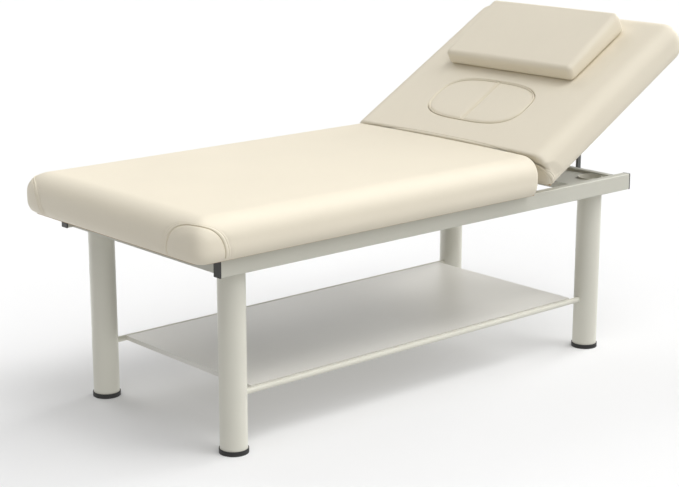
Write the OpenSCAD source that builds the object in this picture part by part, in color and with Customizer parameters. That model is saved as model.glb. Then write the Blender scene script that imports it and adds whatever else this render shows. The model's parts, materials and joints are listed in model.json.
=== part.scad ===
// Stationary massage and treatment table with a raised backrest, a face
// opening closed by two half plugs, a wedge head cushion and a lower shelf.
// X runs from foot to head, Y across the table, Z up from the floor.

/* [Overall size] */
// Width of the cushions across the table
cushion_w = 764; // [620:2:916]
// Length of the seat cushion
seat_len = 1150; // [960:2:1380]
// Length of the backrest cushion
back_len = 654; // [600:2:790]
// Height of the top of the side rails above the floor
frame_h = 516; // [430:2:620]
// How far the backrest is raised at rest, in degrees
back_tilt = 30; // [24:1:32]

/* [Cushions] */
// Thickness of both cushions
cushion_t = 110; // [92:1:132]
// Corner radius of the cushions seen from above
plan_r = 50; // [46:1:90]
// Radius of the top edges
top_r = 45; // [30:1:50]
// Radius of the bottom edges
base_r = 15; // [10:1:20]
// Thickness of the covering
cover_t = 2; // [1.5:0.5:3]
// Thickness of the plywood boards
board_t = 15; // [12:1:20]
// Width of the covering that is turned under the boards
turn_under = 55; // [40:1:70]
// Gap between the two cushions at the hinge
butt_gap = 12; // [12:0.5:16]

/* [Face opening] */
// Distance from the hinge to the middle of the opening
opening_s = 183; // [165:1:220]
// Half size of the opening along the backrest
opening_a = 95; // [75:1:115]
// Half size of the opening across the backrest
opening_b = 181; // [150:1:225]
// Squareness of the oval, where 2 is an ellipse
opening_power = 3; // [2:0.1:4]
// Depth of the two half plugs
plug_depth = 60; // [45:1:75]
// Gap between a plug and the wall of the opening
plug_gap = 1; // [0.5:0.1:2]

/* [Head cushion] */
// Width of the head cushion
pillow_w = 496; // [400:2:590]
// Distance from the hinge to its thin edge
pillow_s = 322; // [308:1:345]
// Length of its underside
pillow_len = 258; // [210:1:305]
// Thickness at the thin edge
pillow_thin = 50; // [42:1:60]
// Thickness at the thick edge
pillow_thick = 70; // [60:1:85]
// Edge radius
pillow_r = 15; // [10:1:20]

/* [Frame] */
// How far each cushion side stands past the rail
side_over = 37; // [25:1:50]
// Width of the side rails
rail_w = 25; // [20:1:30]
// Height of the side and cross rails
rail_h = 46; // [38:1:55]
// Width of the cross rails
cross_w = 18; // [16:1:24]
// Wall of the square tubes
rail_wall = 2; // [1.5:0.5:3]
// Seat cushion past the axis of the foot legs
foot_over = 172; // [145:1:205]
// Axis of the head legs past the hinge
head_reach = 325; // [310:1:390]
// How far the rails stand past the cross rails at the foot
foot_stub = 16; // [10:1:40]
// How far the rails stand past the cross rails at the head
head_stub = 43; // [20:1:60]
// Length of the end plates along the table
plate_len = 150; // [120:1:180]
// Thickness of the end plates
plate_t = 3; // [2:0.5:5]

/* [Legs and shelf] */
// Outer diameter of the legs
leg_d = 70; // [58:1:84]
// Wall of the legs
leg_wall = 2; // [1.5:0.5:3]
// Height of the rubber feet
foot_h = 12; // [10:1:20]
// Height of the top of the shelf above the floor
shelf_z = 156; // [120:2:220]
// Thickness of the shelf
shelf_t = 12; // [10:1:15]
// Diameter of the shelf rods
rod_d = 16; // [14:1:20]
// Gap between the shelf and the legs
shelf_gap = 28; // [15:1:40]

/* [Hinge and prop] */
// Distance of the hinge pin below the top of the cushions
pin_drop = 8; // [8:0.5:10]
// Distance of the hinge straps from the middle of the table
strap_y = 220; // [180:1:235]
// Width of a hinge strap
strap_w = 60; // [50:1:72]
// Thickness of the hinge straps
strap_t = 3; // [2.5:0.5:3]
// Radius of the hinge barrel
barrel_r = 5; // [4.5:0.1:5]
// Radius of the hinge pin
hinge_pin_r = 2.5; // [2:0.1:3]
// Distance of the prop arms from the middle of the table
prop_y = 170; // [150:1:190]
// Width of a prop arm
arm_w = 13; // [12:1:15]
// Thickness of a prop arm
arm_t = 8; // [6:1:10]
// Diameter of the prop's cross bar
bar_d = 12; // [10:1:14]
// Radius of the prop's pivot pins
prop_pin_r = 4; // [3:0.1:4]
// Depth of the prop's bar below the backrest at rest
bar_seat = 17; // [16:0.5:19]

/* [Hidden] */

left = 1;                                   // sign of Y on each side
right = -1;
sides = [right, left];
pivot_x = seat_len - foot_over + butt_gap / 2;    // X counts from the foot legs' axis
pivot_z = frame_h + cushion_t - pin_drop;
head_leg_x = pivot_x + head_reach;
rail_y = cushion_w / 2 - side_over - rail_w / 2;
rail_in = rail_y - rail_w / 2;
leg_clear = 0.2;                            // room between a tube and the rubber or cap on it
leg_y = rail_in - leg_d / 2 - 3.5;
leg_top = frame_h - 3;
head_cross_x = head_leg_x + leg_d / 2 + 3;
head_cross_out = head_cross_x + cross_w;
foot_cross_x = -leg_d / 2 - 8 - cross_w;
rail_foot_x = foot_cross_x - foot_stub;
rail_head_x = head_cross_out + head_stub;
strap_x = pivot_x - barrel_r;               // bolting face of the fixed straps
middle_cross_x = strap_x - cross_w;
plate_z = frame_h - 8;                      // top of the end plates
plate_hole_r = leg_d / 2 + 1;
rest_gap = 1;                               // backrest above the rails when it is flat
back_t = cushion_t - rest_gap;
back_end = back_len + butt_gap / 2;         // head end, from the hinge
back_base = pin_drop - back_t;              // underside of the backrest, from the hinge
mid_x = (pivot_x - foot_over + base_r + (back_end - base_r) * cos(back_tilt)
  - (back_base + base_r) * sin(back_tilt)) / 2;
soft_fn = 36;
fn = 64;
screw_r = 2.5;
screw_fit = 0.1;                            // radial room round a screw or bolt
tab_size = [40, 32, 4];
tab_xs = [for (share = [0.12, 0.48, 0.84]) share * pivot_x];
bolt_r = 3;
bolt_head = 4;
dust_t = 1;
shelf_bar = [25, 4];
shelf_bar_xs = [for (share = [0.15, 0.5, 0.85]) share * head_leg_x];
strap_len = 60;                             // flange of the moving strap under the board
strap_low = 36;                             // fixed strap below the top of the rail
pin_fit = 0.05;
side_fit = 0.5;                             // sideways room between turning pieces
lug_t = 8;
prop_x = head_cross_out + 20;
prop_z = frame_h - 16;
prop_swing = 90;
arm_len = pivot_z - prop_z
  + ((prop_x - pivot_x) * sin(back_tilt) + back_base - bar_seat) / cos(back_tilt);
rack_y = 140;
rack_t = 4;
rack_flange = [24, 2.5];
rack_fit = 1;                               // room between the bar and its rack
rack_stop = 4;
rack_deep = 21;
pin_head = 3;
opening_steps = 48;

steel = [0.83, 0.82, 0.78];
steel_dark = [0.36, 0.36, 0.37];
vinyl = [0.95, 0.92, 0.84];
foam = [0.93, 0.88, 0.66];
wood = [0.78, 0.64, 0.44];
black = [0.13, 0.13, 0.13];
shelf_colour = [0.78, 0.77, 0.73];

// ---- places and shapes that repeat ----

module on_table() translate([-mid_x, 0, 0]) children();

module on_backrest() on_table() translate([pivot_x, 0, pivot_z]) rotate([0, -back_tilt, 0]) children();

// A cylinder along Y, centred on the children's origin in X and Z.
module rod_y(r, from, to) translate([0, from, 0]) rotate([-90, 0, 0]) cylinder(r = r, h = to - from, $fn = fn);

// A square tube whose open ends face along one axis (0, 1 or 2).
module box_tube(size, along) difference() {
  cube(size);
  translate([for (i = [0:2]) i == along ? -1 : rail_wall])
    cube([for (i = [0:2]) i == along ? size[i] + 2 : size[i] - 2 * rail_wall]);
}

// A rounded edge that runs round one corner of a cushion.
module edge_ring(r, inset) rotate_extrude($fn = soft_fn) intersection() {
  translate([plan_r - r, 0]) circle(r = r - inset, $fn = soft_fn);
  translate([0, -r]) square([plan_r, 2 * r]);
}

// A cushion with rounded corners and edges, from x = 0, with its underside at z = 0.
module pad_blank(len, wid, t, inset) hull()
  for (x = [plan_r, len - plan_r], y = [plan_r - wid / 2, wid / 2 - plan_r]) translate([x, y, 0]) {
    translate([0, 0, base_r]) edge_ring(base_r, inset);
    translate([0, 0, t - top_r]) edge_ring(top_r, inset);
  }

// The seat cushion's outside, or the same shape inset for what lies under its covering.
module seat_blank(inset) translate([-foot_over, 0, frame_h]) intersection() {
  pad_blank(seat_len + 2 * plan_r, cushion_w, cushion_t, inset);
  translate([-1, -cushion_w, -1]) cube([seat_len + 1 - inset, 2 * cushion_w, cushion_t + 2]);
}

// The backrest cushion's outside, in the backrest's own frame.
module back_blank(inset) translate([back_end, 0, back_base]) mirror([1, 0, 0]) intersection() {
  pad_blank(back_len + 2 * plan_r, cushion_w, back_t, inset);
  translate([-1, -cushion_w, -1]) cube([back_len + 1 - inset, 2 * cushion_w, back_t + 2]);
}

// A flat sheet with two round corners at one end, from x = 0 to len.
module round_end_sheet(len, wid, t, r) {
  translate([r, -wid / 2, 0]) cube([len - r, wid, t]);
  translate([0, r - wid / 2, 0]) cube([r, wid - 2 * r, t]);
  for (y = [r - wid / 2, wid / 2 - r]) translate([r, y, 0]) cylinder(r = r, h = t, $fn = fn);
}

function signed_power(v, p) = sign(v) * pow(abs(v), p);

// Points of a squared oval from one angle to another.
function oval(a, b, from, to) = [
  for (i = [0:opening_steps]) let (t = from + (to - from) * i / opening_steps)
    [a * signed_power(cos(t), 2 / opening_power), b * signed_power(sin(t), 2 / opening_power)]
];

// The face opening as a prism through the whole backrest, grown by some amount.
module opening_prism(grow) translate([opening_s, 0, back_base - 1]) linear_extrude(back_t + 2)
  polygon(oval(opening_a + grow, opening_b + grow, 0, 360 * (1 - 1 / opening_steps)));

// Half a plug, or the same shape inset for the foam under its covering.
module plug_blank(side, inset) translate([opening_s, 0, pin_drop - plug_depth + inset])
  mirror([0, side > 0 ? 0 : 1, 0]) translate([0, plug_gap / 2 + inset, 0])
    linear_extrude(plug_depth - 2 * inset)
      polygon(oval(opening_a - plug_gap - inset, opening_b - 1.5 * plug_gap - 2 * inset, 0, 180));

// Points of an arc from one angle to another, in steps of 10 degrees.
function arc(centre, r, from, to) = [
  for (t = [from:10:to]) centre + r * [cos(t), sin(t)]
];

// The wedge head cushion, or the same shape inset for its foam, drawn from the side.
module pillow_blank(inset) {
  low = pin_drop + plug_gap + pillow_r;
  near = pillow_s + pillow_r;
  far = pillow_s + pillow_len - pillow_r;
  r = pillow_r - inset;
  translate([0, pillow_w / 2 - inset, 0]) rotate([90, 0, 0]) linear_extrude(pillow_w - 2 * inset)
    polygon(concat(
      arc([far, low], r, -90, 0),
      arc([far, low + pillow_thick - 2 * pillow_r], r, 0, 90),
      arc([near, low + pillow_thin - 2 * pillow_r], r, 100, 180),
      arc([near, low], r, 180, 270)));
}

// Position of the prop's bar in the backrest's frame when the backrest is at a tilt.
function bar_from_pivot(tilt) = let (swing = prop_swing * tilt / back_tilt)
  [prop_x - pivot_x + arm_len * cos(swing), prop_z - pivot_z + arm_len * sin(swing)];
function bar_path(tilt) = let (p = bar_from_pivot(tilt))
  [p.x * cos(tilt) + p.y * sin(tilt), p.y * cos(tilt) - p.x * sin(tilt)];

// A screw with a pan head below, pointing up.
module pan_screw(r, len, head_r, head_h) {
  cylinder(r = r, h = len, $fn = fn);
  translate([0, 0, -head_h]) cylinder(r = head_r, h = head_h, $fn = fn);
}

// ---- frame ----

module side_rail(side) on_table() color(steel)
  translate([rail_foot_x, side * rail_y - rail_w / 2, frame_h - rail_h])
    box_tube([rail_head_x - rail_foot_x, rail_w, rail_h], 0);

module side_rail_left() side_rail(left);

module side_rail_right() side_rail(right);

module rail_end_caps() on_table() color(black)
  for (side = sides, end = [0, 1])
    translate([end == 0 ? rail_foot_x : rail_head_x, side * rail_y, frame_h - rail_h / 2])
      mirror([end, 0, 0]) {
        translate([-4, -rail_w / 2, -rail_h / 2]) cube([4, rail_w, rail_h]);
        translate([0, leg_clear + rail_wall - rail_w / 2, leg_clear + rail_wall - rail_h / 2])
          cube([16, rail_w - 2 * (rail_wall + leg_clear), rail_h - 2 * (rail_wall + leg_clear)]);
      }

module cross_rail(x) on_table() color(steel)
  translate([x, -rail_in, frame_h - rail_h]) box_tube([cross_w, 2 * rail_in, rail_h], 1);

module foot_cross_rail() cross_rail(foot_cross_x);

module middle_cross_rail() on_table() color(steel) difference() {
  translate([middle_cross_x, -rail_in, frame_h - rail_h]) box_tube([cross_w, 2 * rail_in, rail_h], 1);
  strap_bolt_places() rotate([0, -90, 0])
    translate([0, 0, -1]) cylinder(r = bolt_r + screw_fit, h = 2 * rail_wall, $fn = fn);
}

module head_cross_rail() cross_rail(head_cross_x);

// A sheet between the rails with a hole for each leg, and a turned-down inner edge.
module end_plate(leg_x, from, to, lip_x) on_table() color(steel) difference() {
  union() {
    translate([from, -rail_in, plate_z - plate_t]) cube([to - from, 2 * rail_in, plate_t]);
    translate([lip_x, -rail_in, plate_z - 20]) cube([plate_t, 2 * rail_in, 20]);
  }
  for (side = sides) translate([leg_x, side * leg_y, plate_z - plate_t - 1])
    cylinder(r = plate_hole_r, h = plate_t + 2, $fn = fn);
}

module foot_end_plate() end_plate(0, foot_cross_x + cross_w, foot_cross_x + cross_w + plate_len,
  foot_cross_x + cross_w + plate_len - plate_t);

module head_end_plate() end_plate(head_leg_x, head_cross_x - plate_len, head_cross_x, head_cross_x - plate_len);

module leg(x, side) on_table() color(steel) translate([x, side * leg_y, foot_h / 3]) difference() {
  cylinder(d = leg_d, h = leg_top - foot_h / 3, $fn = fn);
  translate([0, 0, -1]) cylinder(r = leg_d / 2 - leg_wall, h = leg_top, $fn = fn);
}

module leg_foot_left() leg(0, left);

module leg_foot_right() leg(0, right);

module leg_head_left() leg(head_leg_x, left);

module leg_head_right() leg(head_leg_x, right);

// A rubber cup round the end of a leg, with a plug inside the tube.
module rubber_foot(x, side) on_table() color(black) translate([x, side * leg_y, 0]) {
  cylinder(d = leg_d - 2 * leg_wall - 2, h = 2 * foot_h, $fn = fn);
  difference() {
    cylinder(d = leg_d + 5, h = foot_h, $fn = fn);
    translate([0, 0, foot_h / 3]) cylinder(r = leg_d / 2 + leg_clear, h = foot_h, $fn = fn);
  }
}

module rubber_foot_foot_left() rubber_foot(0, left);

module rubber_foot_foot_right() rubber_foot(0, right);

module rubber_foot_head_left() rubber_foot(head_leg_x, left);

module rubber_foot_head_right() rubber_foot(head_leg_x, right);

// ---- shelf ----

module shelf_rod(side) on_table() color(steel) difference() {
  translate([0, side * leg_y, shelf_z - rod_d / 2]) rotate([0, 90, 0])
    cylinder(d = rod_d, h = head_leg_x, $fn = fn);
  for (x = [0, head_leg_x]) translate([x, side * leg_y, shelf_z - 2 * rod_d])
    cylinder(r = leg_d / 2, h = 3 * rod_d, $fn = fn);
}

module shelf_rod_left() shelf_rod(left);

module shelf_rod_right() shelf_rod(right);

// Flat bars under the shelf, welded between the rods where the rods are this wide.
shelf_bar_z = shelf_z - shelf_t - shelf_bar[1];
rod_half_chord = sqrt(pow(rod_d / 2, 2) - pow(rod_d / 2 - shelf_t, 2));

module shelf_bars() on_table() color(steel) difference() {
  for (x = shelf_bar_xs)
    translate([x - shelf_bar[0] / 2, rod_half_chord - leg_y, shelf_bar_z])
      cube([shelf_bar[0], 2 * (leg_y - rod_half_chord), shelf_bar[1]]);
  shelf_screw_places() cylinder(r = screw_r + screw_fit, h = 3 * shelf_bar[1], center = true, $fn = fn);
}

module shelf_screw_places() for (x = shelf_bar_xs, side = sides)
  translate([x, side * leg_y * 0.7, shelf_bar_z]) children();

module shelf_panel() on_table() color(shelf_colour) difference() {
  translate([leg_d / 2 + shelf_gap, rod_d / 2 + 1 - leg_y, shelf_z - shelf_t])
    cube([head_leg_x - leg_d - 2 * shelf_gap, 2 * (leg_y - rod_d / 2 - 1), shelf_t]);
  shelf_screw_places() cylinder(r = screw_r + screw_fit, h = shelf_bar[1] + shelf_t - 2, $fn = fn);
}

module shelf_screws() on_table() color(steel_dark)
  shelf_screw_places() pan_screw(screw_r, shelf_bar[1] + shelf_t - 3, 2 * screw_r, 2);

// ---- seat ----

module seat_bolt_places() for (x = tab_xs, side = sides)
  translate([x, side * (rail_in - tab_size.y * 0.6), frame_h - tab_size.z]) children();

module seat_tabs() on_table() color(steel) difference() {
  for (x = tab_xs, side = sides)
    translate([x - tab_size.x / 2, side * (rail_in - tab_size.y / 2) - tab_size.y / 2, frame_h - tab_size.z])
      cube(tab_size);
  seat_bolt_places() translate([0, 0, -1]) cylinder(r = bolt_r + screw_fit, h = tab_size.z + 2, $fn = fn);
}

module seat_bolts() on_table() color(steel_dark) seat_bolt_places() {
  translate([0, 0, -bolt_head]) cylinder(r = 5.5, h = bolt_head, $fn = 6);
  cylinder(r = bolt_r, h = tab_size.z + cover_t + board_t - 3, $fn = fn);
}

module seat_board() on_table() color(wood) difference() {
  translate([base_r - foot_over, 0, frame_h + cover_t])
    round_end_sheet(seat_len - base_r - cover_t, cushion_w - 2 * base_r, board_t, plan_r - base_r);
  seat_bolt_places() cylinder(r = bolt_r + screw_fit, h = tab_size.z + cover_t + board_t - 2, $fn = fn);
}

module seat_foam() on_table() color(foam) difference() {
  seat_blank(cover_t);
  translate([-2 * foot_over, -cushion_w, frame_h - 1])
    cube([seat_len + 2 * foot_over, 2 * cushion_w, cover_t + board_t + 1]);
}

// The rectangle that the turned-under covering leaves open.
module seat_open(grow, t) translate([turn_under - foot_over - grow, turn_under - cushion_w / 2 - grow, 0])
  cube([seat_len - 2 * turn_under + 2 * grow, cushion_w - 2 * turn_under + 2 * grow, t]);

module seat_cover() on_table() color(vinyl) difference() {
  seat_blank(0);
  seat_blank(cover_t);
  translate([0, 0, frame_h - 1]) seat_open(0, cover_t + 2);
}

module seat_dust_cover() on_table() color(black) difference() {
  translate([0, 0, frame_h + cover_t - dust_t]) seat_open(-side_fit, dust_t);
  seat_bolt_places() cylinder(r = bolt_r + screw_fit, h = 3 * tab_size.z, $fn = fn);
}

// ---- hinge ----

barrel_part = strap_w / 3;

module strap_bolt_places() for (side = sides, y = [-1, 1])
  translate([strap_x, side * strap_y + y * strap_w / 4, frame_h - strap_low / 2]) children();

// Upright straps with the two outer barrels, bolted to the middle cross rail.
module hinge_fixed_straps() on_table() color(steel_dark) difference() {
  for (side = sides) translate([0, side * strap_y - strap_w / 2, 0]) {
    difference() {
      translate([strap_x, 0, frame_h - strap_low])
        cube([strap_t, strap_w, pivot_z + strap_low - frame_h]);
      translate([pivot_x, barrel_part - side_fit, pivot_z])
        rod_y(barrel_r + side_fit, 0, barrel_part + 2 * side_fit);
    }
    for (y = [0, 2 * barrel_part]) translate([pivot_x, y, pivot_z]) rod_y(barrel_r, 0, barrel_part);
  }
  translate([pivot_x, 0, pivot_z]) rod_y(hinge_pin_r + pin_fit, -cushion_w, cushion_w);
  strap_bolt_places() rotate([0, 90, 0])
    cylinder(r = bolt_r + screw_fit, h = 3 * strap_t, center = true, $fn = fn);
}

module hinge_strap_bolts() on_table() color(steel_dark) strap_bolt_places() rotate([0, 90, 0]) {
  translate([0, 0, -cross_w / 2]) cylinder(r = bolt_r, h = cross_w / 2 + strap_t, $fn = fn);
  translate([0, 0, strap_t]) cylinder(r = 5.5, h = bolt_head, $fn = 6);
}

module hinge_pins() on_table() color(steel) for (side = sides)
  translate([pivot_x, side * strap_y, pivot_z]) rod_y(hinge_pin_r, -strap_w / 2, strap_w / 2);

module strap_screw_places() for (side = sides, y = [-1, 1])
  translate([0.65 * strap_len, side * strap_y + y * strap_w / 4, back_base - strap_t]) children();

// Angled straps with the middle barrel, screwed under the backrest board.
module hinge_moving_straps() on_backrest() color(steel_dark) difference() {
  for (side = sides) translate([0, side * strap_y, 0]) {
    difference() {
      translate([barrel_r - strap_t, -strap_w / 2, back_base - strap_t])
        cube([strap_t, strap_w, strap_t - back_base]);
      for (y = [-1, 1]) translate([0, y * barrel_part, 0])
        rod_y(barrel_r + side_fit, -barrel_part / 2 - side_fit, barrel_part / 2 + side_fit);
    }
    translate([barrel_r - strap_t, -strap_w / 2, back_base - strap_t])
      cube([strap_len, strap_w, strap_t]);
    rod_y(barrel_r, -barrel_part / 2 + side_fit, barrel_part / 2 - side_fit);
  }
  rod_y(hinge_pin_r + pin_fit, -cushion_w, cushion_w);
  strap_screw_places() cylinder(r = screw_r + screw_fit, h = 3 * strap_t, center = true, $fn = fn);
}

module hinge_strap_screws() on_backrest() color(steel_dark)
  strap_screw_places() pan_screw(screw_r, strap_t + cover_t + board_t - 3, 2 * screw_r, 2);

// ---- prop that holds the backrest up ----

lug_in = prop_y - arm_t / 2 - side_fit - lug_t;

module prop_lugs() on_table() color(steel) difference() {
  for (side = sides) translate([prop_x, side * (lug_in + lug_t / 2), prop_z]) {
    rod_y(arm_w / 2 + 2, -lug_t / 2, lug_t / 2);
    translate([head_cross_out - prop_x, -lug_t / 2, -arm_w / 2 - 2])
      cube([prop_x - head_cross_out, lug_t, arm_w + 4]);
  }
  translate([prop_x, 0, prop_z]) rod_y(prop_pin_r + pin_fit, -cushion_w / 2, cushion_w / 2);
}

// Pins through the lugs and the arms, with a head at each end.
module prop_pins() on_table() color(steel_dark) for (side = sides)
  translate([prop_x, 0, prop_z]) mirror([0, side > 0 ? 0 : 1, 0]) {
    rod_y(prop_pin_r, lug_in - side_fit, prop_y + arm_t / 2 + side_fit);
    rod_y(arm_w / 2, lug_in - side_fit - pin_head, lug_in - side_fit);
    rod_y(arm_w / 2, prop_y + arm_t / 2 + side_fit, prop_y + arm_t / 2 + side_fit + pin_head);
  }

module prop_arm(side) on_table() color(steel_dark) translate([prop_x, side * prop_y, prop_z]) difference() {
  union() {
    rod_y(arm_w / 2, -arm_t / 2, arm_t / 2);
    translate([-arm_w / 2, -arm_t / 2, 0]) cube([arm_w, arm_t, arm_len]);
    translate([0, 0, arm_len]) rod_y(arm_w / 2, -arm_t / 2, arm_t / 2);
  }
  rod_y(prop_pin_r + pin_fit, -arm_t, arm_t);
}

module prop_arm_left() prop_arm(left);

module prop_arm_right() prop_arm(right);

module prop_bar() on_table() color(steel_dark) translate([prop_x, 0, prop_z + arm_len])
  rod_y(bar_d / 2, arm_t / 2 - prop_y, prop_y - arm_t / 2);

// The rack's edge follows the bar's path, with a stop at each end of the travel.
rack_from = bar_path(back_tilt).x - bar_d / 2 - rack_fit;
rack_to = bar_path(0).x + bar_d / 2 + 3 * rack_fit;
rack_outline = concat(
  [[rack_from - rack_stop, back_base], [rack_from - rack_stop, back_base - rack_deep],
    [rack_from, back_base - rack_deep]],
  [for (i = [0:12]) let (p = bar_path(back_tilt * (1 - i / 12)), room = bar_d / 2 + rack_fit)
    [p.x + (i == 0 ? -room : i == 12 ? 3 * rack_fit + bar_d / 2 : 0), p.y + room]],
  [[rack_to, back_base - rack_deep], [rack_to + rack_stop, back_base - rack_deep],
    [rack_to + rack_stop, back_base]]
);

module rack_screw_places(side) for (s = [rack_from + 8, rack_to - 8])
  translate([s, side * (rack_y - rack_t / 2 - rack_flange[0] / 2), back_base - rack_flange[1]]) children();

module prop_rack(side) on_backrest() color(steel_dark) difference() {
  union() {
    translate([0, side * rack_y + rack_t / 2, 0]) rotate([90, 0, 0]) linear_extrude(rack_t) polygon(rack_outline);
    translate([rack_from - rack_stop, side * (rack_y - rack_flange[0] / 2) - rack_flange[0] / 2,
      back_base - rack_flange[1]])
      cube([rack_to - rack_from + 2 * rack_stop, rack_flange[0], rack_flange[1]]);
  }
  rack_screw_places(side) cylinder(r = screw_r + screw_fit, h = 3 * rack_flange[1], center = true, $fn = fn);
}

module prop_rack_left() prop_rack(left);

module prop_rack_right() prop_rack(right);

module rack_screws() on_backrest() color(steel_dark) for (side = sides)
  rack_screw_places(side) pan_screw(screw_r, rack_flange[1] + cover_t + board_t - 3, 2 * screw_r, 2);

// ---- backrest ----

// Clearance for every screw that goes up through the backrest's underside.
module backrest_screw_holes(deep) {
  strap_screw_places() cylinder(r = screw_r + screw_fit, h = deep, $fn = fn);
  for (side = sides) rack_screw_places(side) cylinder(r = screw_r + screw_fit, h = deep, $fn = fn);
}

module backrest_board() on_backrest() color(wood) difference() {
  translate([back_end - base_r, 0, back_base + cover_t]) mirror([1, 0, 0])
    round_end_sheet(back_len - base_r - cover_t, cushion_w - 2 * base_r, board_t, plan_r - base_r);
  opening_prism(cover_t);
  backrest_screw_holes(strap_t + cover_t + board_t - 2);
}

module backrest_foam() on_backrest() color(foam) difference() {
  back_blank(cover_t);
  translate([-back_len, -cushion_w, back_base - 1]) cube([3 * back_len, 2 * cushion_w, cover_t + board_t + 1]);
  opening_prism(cover_t);
}

module back_open(grow, t) translate([butt_gap / 2 + turn_under - grow, turn_under - cushion_w / 2 - grow, 0])
  cube([back_len - 2 * turn_under + 2 * grow, cushion_w - 2 * turn_under + 2 * grow, t]);

// The covering lines the face opening down to the underside of the board.
module backrest_cover() on_backrest() color(vinyl) difference() {
  union() {
    difference() {
      back_blank(0);
      back_blank(cover_t);
      translate([0, 0, back_base - 1]) back_open(0, cover_t + 2);
    }
    intersection() {
      opening_prism(cover_t);
      translate([0, -cushion_w, back_base + cover_t]) cube([back_len, 2 * cushion_w, back_t - cover_t]);
    }
  }
  opening_prism(0);
  backrest_screw_holes(4 * strap_t);
}

module backrest_dust_cover() on_backrest() color(black) difference() {
  translate([0, 0, back_base + cover_t - dust_t]) back_open(-side_fit, dust_t);
  opening_prism(0);
  backrest_screw_holes(4 * strap_t);
}

// ---- half plugs and head cushion ----

module plug_cover(side) on_backrest() color(vinyl) difference() {
  plug_blank(side, 0);
  plug_blank(side, cover_t);
}

module plug_foam(side) on_backrest() color(foam) plug_blank(side, cover_t);

module plug_left_cover() plug_cover(left);

module plug_left_foam() plug_foam(left);

module plug_right_cover() plug_cover(right);

module plug_right_foam() plug_foam(right);

module head_cushion_cover() on_backrest() color(vinyl) difference() {
  pillow_blank(0);
  pillow_blank(cover_t);
}

module head_cushion_foam() on_backrest() color(foam) pillow_blank(cover_t);

side_rail_left();
side_rail_right();
rail_end_caps();
foot_cross_rail();
middle_cross_rail();
head_cross_rail();
foot_end_plate();
head_end_plate();
leg_foot_left();
leg_foot_right();
leg_head_left();
leg_head_right();
rubber_foot_foot_left();
rubber_foot_foot_right();
rubber_foot_head_left();
rubber_foot_head_right();
shelf_rod_left();
shelf_rod_right();
shelf_bars();
shelf_panel();
shelf_screws();
seat_tabs();
seat_bolts();
seat_board();
seat_foam();
seat_cover();
seat_dust_cover();
hinge_fixed_straps();
hinge_strap_bolts();
hinge_pins();
prop_lugs();
prop_pins();
backrest_board();
backrest_foam();
backrest_cover();
backrest_dust_cover();
hinge_moving_straps();
hinge_strap_screws();
prop_rack_left();
prop_rack_right();
rack_screws();
prop_arm_left();
prop_arm_right();
prop_bar();
plug_left_cover();
plug_left_foam();
plug_right_cover();
plug_right_foam();
head_cushion_cover();
head_cushion_foam();
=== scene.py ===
import json
import math

import bmesh
import bpy
import numpy as np
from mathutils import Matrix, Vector


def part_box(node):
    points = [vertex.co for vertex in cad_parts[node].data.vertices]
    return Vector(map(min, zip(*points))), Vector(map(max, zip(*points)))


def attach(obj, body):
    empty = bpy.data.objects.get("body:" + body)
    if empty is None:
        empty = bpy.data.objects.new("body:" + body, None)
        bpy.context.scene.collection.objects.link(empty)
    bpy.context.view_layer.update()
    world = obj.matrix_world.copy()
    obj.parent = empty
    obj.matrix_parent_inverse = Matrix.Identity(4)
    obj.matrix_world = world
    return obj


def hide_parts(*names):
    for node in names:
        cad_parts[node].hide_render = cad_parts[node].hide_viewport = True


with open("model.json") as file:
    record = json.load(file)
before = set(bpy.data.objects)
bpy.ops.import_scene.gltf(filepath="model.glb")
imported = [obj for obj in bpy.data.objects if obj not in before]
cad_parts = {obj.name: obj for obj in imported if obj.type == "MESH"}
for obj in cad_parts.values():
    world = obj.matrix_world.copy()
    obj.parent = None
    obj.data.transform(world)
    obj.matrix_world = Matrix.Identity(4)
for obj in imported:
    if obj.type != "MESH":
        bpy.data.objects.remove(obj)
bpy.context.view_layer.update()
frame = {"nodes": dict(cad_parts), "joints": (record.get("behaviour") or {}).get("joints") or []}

# ---- View ------------------------------------------------------------------
# The camera stands off the foot end's right corner, a little above the seat,
# and looks along the table with a long lens.
hinge = next(joint for joint in frame["joints"] if joint["name"] == "backrest_tilt")
hinge_x, _, hinge_z = hinge["pos_m"]
tilt = -math.radians(hinge["range_deg"][0])
foot_leg_x = sum(corner.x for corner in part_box("leg_foot_left")) / 2
CAMERA_FROM_FOOT_LEGS = Vector((-2.3485, -3.3630, 1.5100))
CAMERA_TURN = math.radians(41.164)
CAMERA_DIP = math.radians(14.226)
CAMERA_LENS, CAMERA_SENSOR = 88.47, 36.0      # in millimetres


def add_object(name, data):
    """A new object in the scene."""
    made = bpy.data.objects.new(name, data)
    bpy.context.scene.collection.objects.link(made)
    return made


camera_data = bpy.data.cameras.new("camera")
camera_data.lens = CAMERA_LENS
camera_data.sensor_width = CAMERA_SENSOR
camera = add_object("camera", camera_data)
camera.location = Vector((foot_leg_x, 0, 0)) + CAMERA_FROM_FOOT_LEGS
camera.rotation_euler = (math.pi / 2 - CAMERA_DIP, 0, -CAMERA_TURN)
bpy.context.scene.camera = camera

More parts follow.
